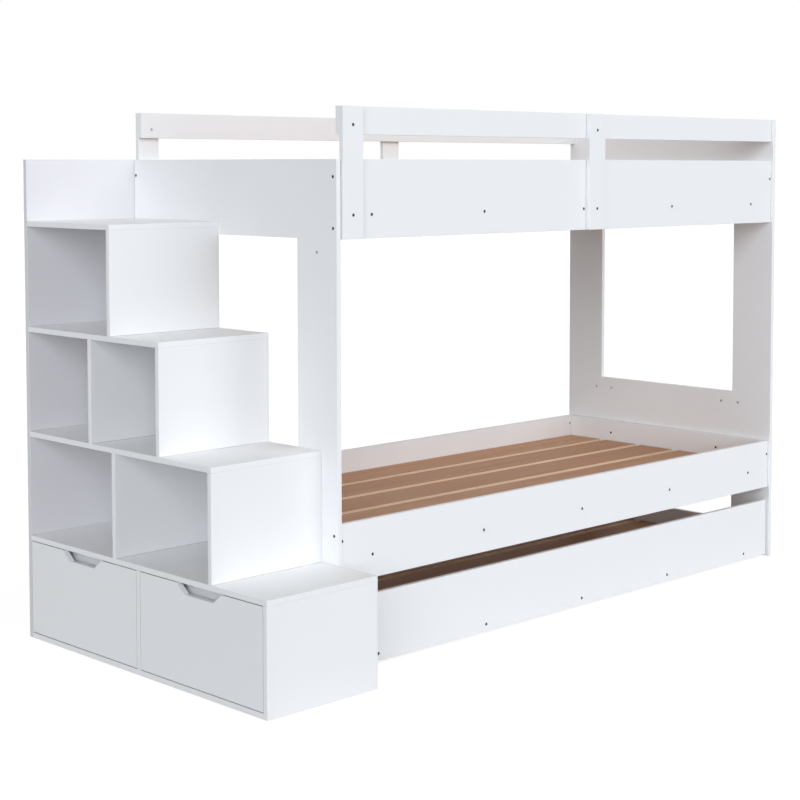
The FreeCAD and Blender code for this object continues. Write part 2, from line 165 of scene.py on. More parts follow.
melamine_x = melamine("melamine_end_board", "X")
for side in ("left", "right"):
    dress(melamine_x, side + "_front_leg", side + "_rear_leg",
          side + "_upper_board", side + "_lower_board")

# ---------------------------------------------------------------- rails and guards
# The long boards of both bunks, and the guards' posts that stand on their outer faces.
# The same white board, screwed on through the end frames.

melamine_y = melamine("melamine_long_board", "Y")
for side in ("front", "rear"):
    dress(melamine_y, side + "_guard_board", side + "_guard_rail",
          side + "_guard_end_post", side + "_guard_middle_post", "lower_%s_rail" % side)
dress(melamine_x, "cross_boards")

# ---------------------------------------------------------------- screws
# Chipboard screws with a flat cross head, sunk a little below the white boards.
# Blackened steel, turned and rolled: a straight-sided head on a coarse threaded shank.

SCREW_HEAD = 0.0045           # radius
SCREW_HEAD_HEIGHT = 0.003
SCREW_RIM = 0.0004
SCREW_SHANK = 0.0022
SCREW_CORE = 0.0016
SCREW_POINT = 0.0006
SCREW_PITCH = 0.0026
HEAD_POINTS = 0.9             # of the head's radius; a screw's points beyond it are its head's
CROSS_ARM = 0.0030
CROSS_HALF_WIDTH = 0.0007
CROSS_DEPTH = 0.0016
CROSS_TAPER = 0.72            # size of the recess's floor against its top
ROUND_SIDES = 20
SHANK_SIDES = 8
SHARP_ANGLE = 40              # degrees; edges sharper than this aren't smoothed
SAME_PLACE = 5                # decimals of a metre at which two points are one
SAME_LENGTH = 4               # and at which two lengths are one
MM = 1000                     # in a metre
SCREW_BLACK = (0.030, 0.031, 0.034)
SCREW_WORN = (0.075, 0.076, 0.080)
SCREW_RUB = (900, 900, 900)
SCREW_RUB_DETAIL = 3.0
SCREW_ROUGHNESS = (0.42, 0.6)
SCREW_METALLIC = 0.75


def solids(node):
    """The points of each separate solid in a CAD node, found by the faces they share."""
    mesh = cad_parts[node].data
    place = [tuple(round(c, SAME_PLACE) for c in vertex.co) for vertex in mesh.vertices]
    joined = {point: point for point in place}

    def root(point):
        while joined[point] != point:
            joined[point] = joined[joined[point]]
            point = joined[point]
        return point

    for face in mesh.polygons:
        first = root(place[face.vertices[0]])
        for vertex in face.vertices[1:]:
            joined[root(place[vertex])] = first
    groups = {}
    for point in joined:
        groups.setdefault(root(point), []).append(Vector(point))
    return list(groups.values())


def corners(points):
    """Lowest and highest corner round some points."""
    low = Vector([min(point[i] for point in points) for i in range(3)])
    high = Vector([max(point[i] for point in points) for i in range(3)])
    return low, high


def turned(shape, profile, sides):
    """Adds a turned form to a bmesh, rings of a radius and height round Z, and returns its
    rings. Both ends are left open."""
    rings = []
    for radius, height in profile:
        ring = []
        for i in range(sides):
            angle = 2 * math.pi * i / sides
            point = (radius * math.cos(angle), radius * math.sin(angle), height)
            ring.append(shape.verts.new(point))
        rings.append(ring)
    for lower, upper in zip(rings, rings[1:]):
        for i in range(sides):
            j = (i + 1) % sides
            shape.faces.new((lower[i], lower[j], upper[j], upper[i]))
    return rings


def cross_recess(shape, rim, height):
    """Closes a round head's top inside its rim, with a cross recess in the middle."""
    arm, half = CROSS_ARM, CROSS_HALF_WIDTH
    quarter = [(arm, -half), (arm, half), (half, half)]
    outline = []
    for turn in range(4):
        c, s = round(math.cos(turn * math.pi / 2)), round(math.sin(turn * math.pi / 2))
        outline += [(c * x - s * y, s * x + c * y) for x, y in quarter]
    top = [shape.verts.new((x, y, height)) for x, y in outline]
    floor = [shape.verts.new((CROSS_TAPER * x, CROSS_TAPER * y, height - CROSS_DEPTH))
             for x, y in outline]
    count = len(outline)
    for i in range(count):
        j = (i + 1) % count
        shape.faces.new((top[j], top[i], floor[i], floor[j]))
    shape.faces.new(floor)
    edges = [shape.edges.get((top[i], top[(i + 1) % count])) for i in range(count)]
    edges += [shape.edges.get((rim[i], rim[(i + 1) % len(rim)])) for i in range(len(rim))]
    bmesh.ops.triangle_fill(shape, use_beauty=True, edges=edges)


def screw_shape(length):
    """One screw along Z, with the top of its head at 0 and its point below."""
    shape = bmesh.new()
    profile = [(SCREW_POINT, -length), (SCREW_CORE, -length + 2 * SCREW_PITCH)]
    height = profile[-1][1]
    while height + SCREW_PITCH < -SCREW_HEAD_HEIGHT - SCREW_PITCH:
        profile += [(SCREW_SHANK, height + SCREW_PITCH / 2), (SCREW_CORE, height + SCREW_PITCH)]
        height += SCREW_PITCH
    profile.append((SCREW_SHANK, -SCREW_HEAD_HEIGHT))
    rings = turned(shape, profile, SHANK_SIDES)
    shape.faces.new(rings[0][::-1])
    shape.faces.new(rings[-1])
    head = [(SCREW_HEAD - SCREW_RIM, -SCREW_HEAD_HEIGHT),
            (SCREW_HEAD, -SCREW_HEAD_HEIGHT + SCREW_RIM),
            (SCREW_HEAD, -SCREW_RIM), (SCREW_HEAD - SCREW_RIM, 0.0)]
    rings = turned(shape, head, ROUND_SIDES)
    shape.faces.new(rings[0][::-1])
    cross_recess(shape, rings[-1], 0.0)
    return shape


def as_piece(shape, name, finish, smooth=False):
    """A bmesh as a piece of the object, with its outside found."""
    bmesh.ops.recalc_face_normals(shape, faces=shape.faces)
    mesh = bpy.data.meshes.new(name)
    shape.to_mesh(mesh)
    shape.free()
    for face in mesh.polygons:
        face.use_smooth = smooth
    if smooth:
        mesh.set_sharp_from_angle(angle=math.radians(SHARP_ANGLE))
    mesh.materials.append(finish)
    piece = bpy.data.objects.new(name, mesh)
    bpy.context.scene.collection.objects.link(piece)
    return piece


def place_copies(template, frames):
    """One bmesh with a copy of a template at each frame."""
    mesh = bpy.data.meshes.new("template")
    template.to_mesh(mesh)
    template.free()
    together = bmesh.new()
    for frame_of in frames:
        start = len(together.verts)
        together.from_mesh(mesh)
        together.verts.ensure_lookup_table()
        bmesh.ops.transform(together, matrix=frame_of, verts=together.verts[start:])
    bpy.data.meshes.remove(mesh)
    return together


def outward_frame(point, outward):
    """The frame at a point whose Z looks outward."""
    return Matrix.Translation(point) @ outward.to_track_quat("Z", "Y").to_matrix().to_4x4()


def screw_places(chosen):
    """Head frame and length of every screw, read from their solids."""
    found = []
    for points in chosen:
        low, high = corners(points)
        size = high - low
        axis = max(range(3), key=lambda i: size[i])
        middle = (low + high) / 2
        wide = [p[axis] for p in points if (p - middle).length_squared
                - (p[axis] - middle[axis]) ** 2 > (HEAD_POINTS * SCREW_HEAD) ** 2]
        at_high = sum(wide) / len(wide) > middle[axis]
        head = middle.copy()
        head[axis] = high[axis] if at_high else low[axis]
        outward = Vector((0, 0, 0))
        outward[axis] = 1.0 if at_high else -1.0
        found.append((outward_frame(head, outward), round(size[axis], SAME_LENGTH)))
    return found


def screws_for(node, piece_name, body, places):
    """Detailed screws in place of a node's plain ones, one piece for each length."""
    lengths = sorted({length for frame_of, length in places})
    for length in lengths:
        frames = [frame_of for frame_of, own in places if own == length]
        name = "%s_%d" % (piece_name, round(length * MM))
        piece = as_piece(place_copies(screw_shape(length), frames), name, screw_black, smooth=True)
        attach(piece, body)
        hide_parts(node)


def blackened_steel(name):
    """Dark finish, a little brighter where the driver has rubbed it."""
    finish, tree, surface, place = new_finish(name)
    rub = ranged(tree, mottle(tree, place, SCREW_RUB, SCREW_RUB_DETAIL), 0.0, 1.0)
    tree.links.new(tinted(tree, rub, SCREW_BLACK, SCREW_WORN), surface.inputs["Base Color"])
    tree.links.new(ranged(tree, rub, *SCREW_ROUGHNESS, 0.0, 1.0), surface.inputs["Roughness"])
    surface.inputs["Metallic"].default_value = SCREW_METALLIC
    return finish


screw_black = blackened_steel("screw_black")
for node, piece_name in (("frame_screws", "bed_screw"), ("stair_screws", "stair_screw")):
    screws_for(node, piece_name, "bed", screw_places(solids(node)))

# ---------------------------------------------------------------- ties and nuts
# Ties lie inside the end frames' boards, across their joints; only their round heads
# show. Nuts sit in the long boards' inner faces and take the screws of the ends and
# the posts. All are zinc-plated steel with a cross recess.

ZINC = (0.40, 0.41, 0.42)
ZINC_BLOOM = (0.52, 0.53, 0.54)
ZINC_CRYSTALS = (260, 260, 260)         # in a metre, along X, Y and Z
ZINC_DETAIL = 4.0
ZINC_ROUGHNESS = (0.30, 0.46)
ZINC_DEPTH = 0.00003
ZINC_STRENGTH = 0.2
ZINC_METALLIC = 0.9
TIE_ROD = 0.003
TIE_HEAD = 0.0045
NUT_LENGTH = 0.012
NUT_RADIUS = 0.0045
NUT_RIM = 0.0004
HEAD_GROUP = 0.010            # heads further apart than this are separate
FLAT = 0.00005                # points this near to a face lie in it


def zinc_plate(name):
    """Zinc plating: a crystal bloom in the grey and a fine roughness."""
    finish, tree, surface, place = new_finish(name)
    bloom = ranged(tree, mottle(tree, place, ZINC_CRYSTALS, ZINC_DETAIL), 0.0, 1.0)
    tree.links.new(tinted(tree, bloom, ZINC, ZINC_BLOOM), surface.inputs["Base Color"])
    tree.links.new(ranged(tree, bloom, *ZINC_ROUGHNESS, 0.0, 1.0), surface.inputs["Roughness"])
    embossed(tree, surface, bloom, ZINC_DEPTH, ZINC_STRENGTH)
    surface.inputs["Metallic"].default_value = ZINC_METALLIC
    return finish


def head_shape(length):
    """A round head along Z with a cross recess, its top at 0."""
    shape = bmesh.new()
    profile = [(TIE_HEAD, -length), (TIE_HEAD, -SCREW_RIM), (TIE_HEAD - SCREW_RIM, 0.0)]
    rings = turned(shape, profile, ROUND_SIDES)
    shape.faces.new(rings[0][::-1])
    cross_recess(shape, rings[-1], 0.0)
    return shape


def nut_shape():
    """A nut along Z with its recessed end at 0."""
    shape = bmesh.new()
    profile = [(NUT_RADIUS - NUT_RIM, -NUT_LENGTH), (NUT_RADIUS, -NUT_LENGTH + NUT_RIM),
               (NUT_RADIUS, -NUT_RIM), (NUT_RADIUS - NUT_RIM, 0.0)]
    rings = turned(shape, profile, ROUND_SIDES)
    shape.faces.new(rings[0][::-1])
    cross_recess(shape, rings[-1], 0.0)
    return shape


def tie_parts(points):
    """One tie, read from its solid: its heads' frames, its rod's start, direction and
    length, and its heads' length. The heads stand along X, on the side where the solid
    reaches further from the rod."""
    low, high = corners(points)
    size = high - low
    axis = 1 if size.y > size.z else 2
    ends = [p for p in points if p[axis] < low[axis] + FLAT or p[axis] > high[axis] - FLAT]
    rod_x = (corners(ends)[0].x + corners(ends)[1].x) / 2
    out = 1.0 if high.x - rod_x > rod_x - low.x else -1.0
    face = high.x if out > 0 else low.x
    along = sorted(p[axis] for p in points if abs(p.x - face) < FLAT)
    groups = [[along[0]]]
    for value in along[1:]:
        if value - groups[-1][-1] > HEAD_GROUP:
            groups.append([])
        groups[-1].append(value)
    heads = []
    for group in groups:
        point = (low + high) / 2
        point.x = face
        point[axis] = (group[0] + group[-1]) / 2
        heads.append(outward_frame(point, Vector((out, 0, 0))))
    start = (low + high) / 2
    start.x = rod_x
    start[axis] = low[axis]
    along_rod = Vector((0, 0, 0))
    along_rod[axis] = 1.0
    return heads, start, along_rod, size[axis], abs(face - rod_x) + TIE_ROD


zinc = zinc_plate("zinc_plate")
nut_frames = []
tie_heads = []
rods = bmesh.new()
for points in solids("frame_connectors"):
    low, high = corners(points)
    if max(high - low) < NUT_LENGTH + FLAT:
        inner_end = high.y if low.y < 0 else low.y
        end = (low + high) / 2
        end.y = inner_end
        nut_frames.append(outward_frame(end, Vector((0, 1 if low.y < 0 else -1, 0))))
        continue
    heads, start, along_rod, rod_length, head_length = tie_parts(points)
    tie_heads += heads
    first = len(rods.verts)
    rings = turned(rods, [(TIE_ROD, 0.0), (TIE_ROD, rod_length)], ROUND_SIDES)
    rods.faces.new(rings[0][::-1])
    rods.faces.new(rings[1])
    rods.verts.ensure_lookup_table()
    bmesh.ops.transform(rods, matrix=outward_frame(start, along_rod), verts=rods.verts[first:])
for name, shape in (("tie_rods", rods),
                    ("tie_heads", place_copies(head_shape(head_length), tie_heads)),
                    ("barrel_nuts", place_copies(nut_shape(), nut_frames))):
    piece = as_piece(shape, name, zinc, smooth=True)
    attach(piece, "bed")
    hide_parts("frame_connectors")

# ---------------------------------------------------------------- decks
# Five slats run the length of each bunk over cross battens of the same wood.
# Planed softwood with the grain along each board and a tone of its own. The slats are
# stained brown, with painted light on their upright edges; the battens are unstained.

SLAT_DARK = (0.440, 0.218, 0.112)
SLAT_MIDDLE = (0.575, 0.305, 0.168)
SLAT_LIGHT = (0.680, 0.388, 0.228)
SLAT_EDGE_PAINTED_LIGHT = (0.900, 0.660, 0.470)
SLAT_ROUND = 0.0015
BATTEN_DARK = (0.38, 0.25, 0.15)
BATTEN_LIGHT = (0.55, 0.39, 0.25)
ROUND_STEPS = 3
ROUND_PROFILE = 0.5           # a bevel's quarter circle
BEFORE_BOARD = 0.01          # a board's count starts so far before it
WOOD_BANDS = (0.9, 26, 4.0)             # in a metre, along and across the grain; detail
WOOD_STREAKS = (3.0, 160, 5.0)
WOOD_PORES = (30.0, 1500, 2.0)
PORES_FROM = (0.55, 0.75)               # only the noise's peaks are pores
STREAK_DARKENS = 0.45                   # the most that each takes of the dark colour
TONE_DARKENS = 0.34
PORE_DARKENS = 0.35
WOOD_ROUGHNESS = (0.46, 0.62)
WOOD_DEPTH = 0.00015
WOOD_STRENGTH = 0.35
WOOD_SPECULAR = 0.2


def stained_wood(name, grain_axis, dark, middle, light, first, pitch, edge=None):
    """Stained wood with its grain along an axis, X or Y. Boards lie side by side across
    it, from a first place at a pitch, and each has its own tone. Their upright edges take
    a painted light colour, if one is given."""
    finish, tree, surface, place = new_finish(name)
    along, across = (0, 1) if grain_axis == "X" else (1, 0)

    def grain(slow, fast, detail):
        per_metre = [fast, fast, fast]
        per_metre[along] = slow
        return mottle(tree, place, per_metre, detail)

    bands = ranged(tree, grain(*WOOD_BANDS), 0.0, 1.0)
    streaks = ranged(tree, grain(*WOOD_STREAKS), 0.0, 1.0)
    pores = ranged(tree, grain(*WOOD_PORES), 0.0, 1.0, *PORES_FROM)
    parts = tree.nodes.new("ShaderNodeSeparateXYZ")
    tree.links.new(place, parts.inputs["Vector"])
    count = ranged(tree, parts.outputs[across], 0.0, 1.0, first, first + pitch)
    count.node.clamp = False
    whole = tree.nodes.new("ShaderNodeMath")
    whole.operation = "FLOOR"
    tree.links.new(count, whole.inputs[0])
    own = tree.nodes.new("ShaderNodeTexWhiteNoise")
    own.noise_dimensions = "1D"
    tree.links.new(whole.outputs["Value"], own.inputs["W"])
    colour = tinted(tree, bands, middle, light)
    for amount, most in ((streaks, STREAK_DARKENS), (own.outputs["Value"], TONE_DARKENS),
                         (pores, PORE_DARKENS)):
        colour = tinted(tree, ranged(tree, amount, 0.0, most, 0.0, 1.0), colour, dark)
    # painted light: upright faces are made paler, standing in for light that catches the edges
    if edge:
        colour = tinted(tree, ranged(tree, squarely(tree, "Z"), 0.0, 1.0), edge, colour)
    tree.links.new(colour, surface.inputs["Base Color"])
    tree.links.new(ranged(tree, streaks, *WOOD_ROUGHNESS, 0.0, 1.0), surface.inputs["Roughness"])
    embossed(tree, surface, streaks, WOOD_DEPTH, WOOD_STRENGTH)
    surface.inputs["Specular IOR Level"].default_value = WOOD_SPECULAR
    return finish


def side_by_side(node, axis):
    """Lowest place of the first board and the pitch of a node's boards along an axis."""
    lows = sorted({round(corners(points)[0][axis], SAME_LENGTH) for points in solids(node)})
    return lows[0], lows[1] - lows[0]


def planed(shape, low, high, radius):
    """Adds a planed length of wood to a bmesh, with all its edges rounded."""
    size = high - low
    place = Matrix.Translation((low + high) / 2) @ Matrix.Diagonal((*size, 1.0))
    made = bmesh.ops.create_cube(shape, size=1.0, matrix=place)
    edges = {edge for vertex in made["verts"] for edge in vertex.link_edges}
    bmesh.ops.bevel(shape, geom=list(edges), offset=radius, segments=ROUND_STEPS,
                    profile=ROUND_PROFILE, affect="EDGES")


def wood_for(node, body, finish):
    """Rounded wood in place of a node's plain boards."""
    shape = bmesh.new()
    for points in solids(node):
        planed(shape, *corners(points), SLAT_ROUND)
    piece = as_piece(shape, node + "_planed", finish)
    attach(piece, body)
    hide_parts(node)


def slat_finish(node):
    """The slats' brown wood for one deck, with painted light on its edges."""
    first, pitch = side_by_side(node, 1)
    return stained_wood(node + "_wood", "X", SLAT_DARK, SLAT_MIDDLE, SLAT_LIGHT,
                        first - BEFORE_BOARD, pitch, SLAT_EDGE_PAINTED_LIGHT)


def batten_finish(node):
    """The same wood unstained, for a node's cross battens."""
    first, pitch = side_by_side(node, 0)
    return stained_wood(node + "_wood", "Y", BATTEN_DARK, BATTEN_LIGHT, BATTEN_LIGHT,
                        first - BEFORE_BOARD, pitch)


for node in ("lower_slats", "upper_slats"):
    wood_for(node, "bed", slat_finish(node))
wood_for("deck_battens", "bed", batten_finish("deck_battens"))

# ---------------------------------------------------------------- trundle bed
# A low box of the white board with its own slats, under the lower bunk. Its front board
# is taller and hides the casters. The corners are dowelled, the battens screwed.

DOWEL_RADIUS = 0.003
DOWEL_CHAMFER = 0.0006
DOWEL_FLUTES = 12
DOWEL_FLUTE = 0.92            # of the radius, at the bottom of a flute
WIDEST_DOWEL = 2.1            # radii; a fastener wider than this has a head
DOWEL_DARK = (0.50, 0.36, 0.22)
DOWEL_LIGHT = (0.66, 0.50, 0.32)


def dowel_shape(length):
    """A fluted beech dowel along Z, with chamfered ends, its middle at 0."""
    shape = bmesh.new()
    half = length / 2
    profile = [(DOWEL_RADIUS - DOWEL_CHAMFER, -half), (DOWEL_RADIUS, -half + DOWEL_CHAMFER),
               (DOWEL_RADIUS, half - DOWEL_CHAMFER), (DOWEL_RADIUS - DOWEL_CHAMFER, half)]
    rings = turned(shape, profile, 2 * DOWEL_FLUTES)
    for ring in rings[1:3]:
        for vertex in ring[::2]:
            vertex.co.xy *= DOWEL_FLUTE
    shape.faces.new(rings[0][::-1])
    shape.faces.new(rings[-1])
    return shape


def is_dowel(points):
    """True if a fastener has no head wider than a dowel."""
    low, high = corners(points)
    return sorted(high - low)[1] < WIDEST_DOWEL * DOWEL_RADIUS


def dowels_for(node, piece_name, body, chosen):
    """Fluted dowels in place of a node's plain ones."""
    frames = []
    for points in chosen:
        low, high = corners(points)
        size = high - low
        along = Vector((0, 0, 0))
        along[max(range(3), key=lambda i: size[i])] = 1.0
        frames.append(outward_frame((low + high) / 2, along))
    piece = as_piece(place_copies(dowel_shape(max(size)), frames), piece_name, beech, smooth=True)
    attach(piece, body)
    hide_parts(node)


dress(melamine_y, "trundle_front_board", "trundle_rear_board")
dress(melamine_x, "trundle_end_boards")
wood_for("trundle_slats", "trundle", slat_finish("trundle_slats"))
wood_for("trundle_battens", "trundle", batten_finish("trundle_battens"))
beech = stained_wood("beech", "X", DOWEL_DARK, DOWEL_LIGHT, DOWEL_LIGHT, 0.0, 1.0)
trundle_solids = solids("trundle_fasteners")
trundle_dowels = [points for points in trundle_solids if is_dowel(points)]
trundle_screws = [points for points in trundle_solids if not is_dowel(points)]
dowels_for("trundle_fasteners", "trundle_dowels", "trundle", trundle_dowels)
screws_for("trundle_fasteners", "trundle_screw", "trundle", screw_places(trundle_screws))

# ---------------------------------------------------------------- casters
# Four fixed casters inside the trundle's long boards: a bracket bent from zinc-plated
# sheet, a riveted axle and a moulded nylon wheel with ribbed sides.

SHEET_CORNER = 0.003
PLATE_THICK = 0.003
CHEEK_THICK = 0.002
AXLE_HEAD = 0.0015
NOSE_STEPS = 8
WHEEL_BORE = 0.00306
HUB_RADIUS = 0.0062
RIM_RADIUS = 0.0130
SIDE_DEPTH = 0.0026           # the wheel's sides between the hub and the rim
TYRE_ROUND = 0.0025
TYRE_STEPS = 4
RIB_COUNT = 6
RIB_THICK = 0.0015
RIB_BELOW = 0.0006            # ribs stand this far below the hub's face
WHEEL_SIDES = 40
SHEET_STEPS = 4               # in the arc of a sheet's corner
CLOSED_RING = 1e-7            # the wheel's first and last ring lie nearer than this
NYLON_BLACK = (0.045, 0.046, 0.050)
NYLON_SCUFFED = (0.085, 0.086, 0.090)
PLASTIC_SCUFFS = (140, 140, 140)
SCUFF_DETAIL = 4.0
SCUFFS_FROM = (0.45, 0.75)
PLASTIC_GRAIN = (2200, 2200, 2200)
PLASTIC_GRAIN_DETAIL = 1.0
PLASTIC_ROUGHNESS = (0.45, 0.6)
PLASTIC_DEPTH = 0.00004
PLASTIC_STRENGTH = 0.3


def rounded(outline, radii, steps):
    """An outline with an arc at each corner. A radius of 0 keeps the corner sharp."""
    done = []
    count = len(outline)
    for i, (corner, radius) in enumerate(zip(outline, radii)):
        here = Vector(corner)
        if radius == 0:
            done.append(here)
            continue
        before = (Vector(outline[i - 1]) - here).normalized()
        after = (Vector(outline[(i + 1) % count]) - here).normalized()
        half = before.angle(after) / 2
        centre = here + (before + after).normalized() * radius / math.sin(half)
        start = here + before * radius / math.tan(half) - centre
        sweep = math.pi - 2 * half
        if before.x * after.y - before.y * after.x > 0:
            sweep = -sweep
        for step in range(steps + 1):
            done.append(centre + Matrix.Rotation(sweep * step / steps, 2) @ start)
    return done


def prism(shape, outline, low, high, at):
    """Adds a prism to a bmesh and returns its two end faces.

    at(u, v, w) gives the place of an outline's point (u, v) at a depth w."""
    near = [shape.verts.new(at(u, v, low)) for u, v in outline]
    far = [shape.verts.new(at(u, v, high)) for u, v in outline]
    for i in range(len(outline)):
        j = (i + 1) % len(outline)
        shape.faces.new((near[i], near[j], far[j], far[i]))
    return shape.faces.new(near[::-1]), shape.faces.new(far)


def bracket_shape(shape, low, high, axle, inner, turn):
    """Adds one caster's bracket between two corners, with its cheeks so far from its
    middle. They end in a round nose. turn is the way from the board in Y, +1 or -1."""
    board_face = low.y if turn > 0 else high.y
    plate_y = sorted((board_face, board_face + turn * PLATE_THICK))
    plate = [(low.x, low.z), (high.x, low.z), (high.x, high.z), (low.x, high.z)]
    plate = rounded(plate, [SHEET_CORNER] * len(plate), SHEET_STEPS)
    prism(shape, plate, *plate_y, lambda x, z, y: (x, y, z))
    nose = axle.z - low.z
    cheek = [(plate_y[1] if turn > 0 else plate_y[0], low.z)]
    for step in range(NOSE_STEPS + 1):
        angle = math.pi * (step / NOSE_STEPS - 0.5)
        cheek.append((axle.y + turn * nose * math.cos(angle), axle.z + nose * math.sin(angle)))
    cheek.append((cheek[0][0], axle.z + nose))
    middle = (low.x + high.x) / 2
    for x in (middle - inner - CHEEK_THICK, middle + inner):
        prism(shape, cheek, x, x + CHEEK_THICK, lambda y, z, x: (x, y, z))


def wheel_shape(width, radius):
    """A wheel along Z with its middle at 0: a ring turned in one profile, and its ribs."""
    shape = bmesh.new()
    half = width / 2
    floor = half - SIDE_DEPTH
    side = [(WHEEL_BORE, half), (HUB_RADIUS, half), (HUB_RADIUS, floor), (RIM_RADIUS, floor),
            (RIM_RADIUS, half)]
    for step in range(TYRE_STEPS + 1):
        angle = math.pi / 2 * (1 - step / TYRE_STEPS)
        side.append((radius - TYRE_ROUND * (1 - math.cos(angle)),
                     half - TYRE_ROUND * (1 - math.sin(angle))))
    profile = side + [(r, -z) for r, z in side[::-1]]
    rings = turned(shape, profile + profile[:1], WHEEL_SIDES)
    bmesh.ops.remove_doubles(shape, verts=rings[0] + rings[-1], dist=CLOSED_RING)
    for i in range(RIB_COUNT):
        spin = Matrix.Rotation(2 * math.pi * i / RIB_COUNT, 4, "Z")
        for out in (1, -1):
            low = Vector((HUB_RADIUS - RIB_BELOW, -RIB_THICK / 2, floor - RIB_BELOW))
            high = Vector((RIM_RADIUS + RIB_BELOW, RIB_THICK / 2, half - RIB_BELOW))
            middle, size = (low + high) / 2, high - low
            middle.z *= out
            place = spin @ Matrix.Translation(middle) @ Matrix.Diagonal((*size, 1.0))
            bmesh.ops.create_cube(shape, size=1.0, matrix=place)
    return shape


def moulded(name, colour, worn):
    """Moulded plastic: a fine spark-eroded grain, a little paler where it is scuffed."""
    finish, tree, surface, place = new_finish(name)
    scuff = mottle(tree, place, PLASTIC_SCUFFS, SCUFF_DETAIL)
    scuff = ranged(tree, scuff, 0.0, 1.0, *SCUFFS_FROM)
    tree.links.new(tinted(tree, scuff, colour, worn), surface.inputs["Base Color"])
    grain = mottle(tree, place, PLASTIC_GRAIN, PLASTIC_GRAIN_DETAIL)
    tree.links.new(ranged(tree, grain, *PLASTIC_ROUGHNESS), surface.inputs["Roughness"])
    embossed(tree, surface, grain, PLASTIC_DEPTH, PLASTIC_STRENGTH)
    return finish


axles = [corners(points) for points in solids("caster_axles")]
cheek_face = (axles[0][1].x - axles[0][0].x) / 2 - AXLE_HEAD - CHEEK_THICK
brackets = bmesh.new()
for points in solids("caster_brackets"):
    low, high = corners(points)
    nearest = min(axles, key=lambda box: ((box[0] + box[1]) / 2 - (low + high) / 2).length)
    axle = (nearest[0] + nearest[1]) / 2
    bracket_shape(brackets, low, high, axle, cheek_face, 1 if axle.y < 0 else -1)
piece = as_piece(brackets, "caster_bracket_sheets", zinc)
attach(piece, "trundle")
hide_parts("caster_brackets")
dress(zinc, "caster_axles")
nylon = moulded("wheel_nylon", NYLON_BLACK, NYLON_SCUFFED)
for node in ("front_wheels", "rear_wheels"):
    frames = []
    for points in solids(node):
        low, high = corners(points)
        frames.append(outward_frame((low + high) / 2, Vector((1, 0, 0))))
    size = high - low
    wheels = place_copies(wheel_shape(size.x, size.z / 2), frames)
    piece = as_piece(wheels, node + "_moulded", nylon, smooth=True)
    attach(piece, node)
    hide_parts(node)

# ---------------------------------------------------------------- stairs
# Treads and risers of the white board, stacked as open shelves with dividers, and a
# tall rear panel. Thin white hardboard closes the side next to the bed.

HARDBOARD_WHITE = (0.918, 0.922, 0.932)
HARDBOARD_FIBRE = (0.900, 0.904, 0.914)
HARDBOARD_FIBRES = (420, 420, 900)      # in a metre, along X, Y and Z
HARDBOARD_DETAIL = 4.0
HARDBOARD_ROUGHNESS = (0.5, 0.62)
HARDBOARD_DEPTH = 0.00006
HARDBOARD_STRENGTH = 0.3
PANEL_SHADED_WHITE = (0.845, 0.832, 0.860)     # painted shade: a darker white for the rear panel, darker still on its edges
PANEL_SHADED_CLOUD = (0.835, 0.822, 0.850)
PANEL_SHADED_EDGE = (0.730, 0.732, 0.748)


def hardboard(name):
    """Painted hardboard: a faint criss-cross of fibres and a dull face."""
    finish, tree, surface, place = new_finish(name)
    fibre = ranged(tree, mottle(tree, place, HARDBOARD_FIBRES, HARDBOARD_DETAIL), 0.0, 1.0)
    colour = tinted(tree, fibre, HARDBOARD_WHITE, HARDBOARD_FIBRE)
    tree.links.new(colour, surface.inputs["Base Color"])
    tree.links.new(ranged(tree, fibre, *HARDBOARD_ROUGHNESS, 0.0, 1.0), surface.inputs["Roughness"])
    embossed(tree, surface, fibre, HARDBOARD_DEPTH, HARDBOARD_STRENGTH)
    return finish


melamine_z = melamine("melamine_shelf", "Z")
dress(melamine_z, "stair_bottom_board", *[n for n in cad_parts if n.startswith("tread_")])
dress(melamine_y, "dividers", *[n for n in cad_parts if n.startswith("riser_")])
# painted shade: the rear panel gets a darker white than the other boards
dress(melamine("melamine_panel_painted_shade", "Y", PANEL_SHADED_WHITE, PANEL_SHADED_CLOUD, PANEL_SHADED_EDGE), "stair_rear_panel")
white_sheet = hardboard("white_hardboard_sheet")
dress(white_sheet, "stair_backing_sheets")

# ---------------------------------------------------------------- drawers
# Two drawers in the stairs' lowest level. Each face is inset, with a finger cut-out
# routed in its upper edge, and is dowelled to a box of thinner white board. The boxes
# run on rolled zinc-plated channels.

GRIP_TOP = 0.192
GRIP_BOTTOM = 0.122
GRIP_DEPTH = 0.027
GRIP_ROUND = 0.004
GRIP_STEPS = 5
FACE_EDGE = 0.0008
FACE_EDGE_STEPS = 2
METAL = 0.0015
BEND = 0.002
BEND_STEPS = 3
RUNNER_SCREWS = 3
RUNNER_HEAD = 0.0012


def face_shape(low, high):
    """A drawer's face between two corners, with its cut-out and eased edges."""
    shape = bmesh.new()
    middle = (low.y + high.y) / 2
    outline = [(low.y, low.z), (high.y, low.z), (high.y, high.z), (middle + GRIP_TOP / 2, high.z),
               (middle + GRIP_BOTTOM / 2, high.z - GRIP_DEPTH),
               (middle - GRIP_BOTTOM / 2, high.z - GRIP_DEPTH),
               (middle - GRIP_TOP / 2, high.z), (low.y, high.z)]
    radii = [0, 0, 0] + [GRIP_ROUND] * 4 + [0]
    outline = rounded(outline, radii, GRIP_STEPS)
    ends = prism(shape, outline, low.x, high.x, lambda y, z, x: (x, y, z))
    edges = {edge for face in ends for edge in face.edges}
    bmesh.ops.bevel(shape, geom=list(edges), offset=FACE_EDGE, segments=FACE_EDGE_STEPS,
                    profile=ROUND_PROFILE, affect="EDGES", clamp_overlap=True)
    return shape


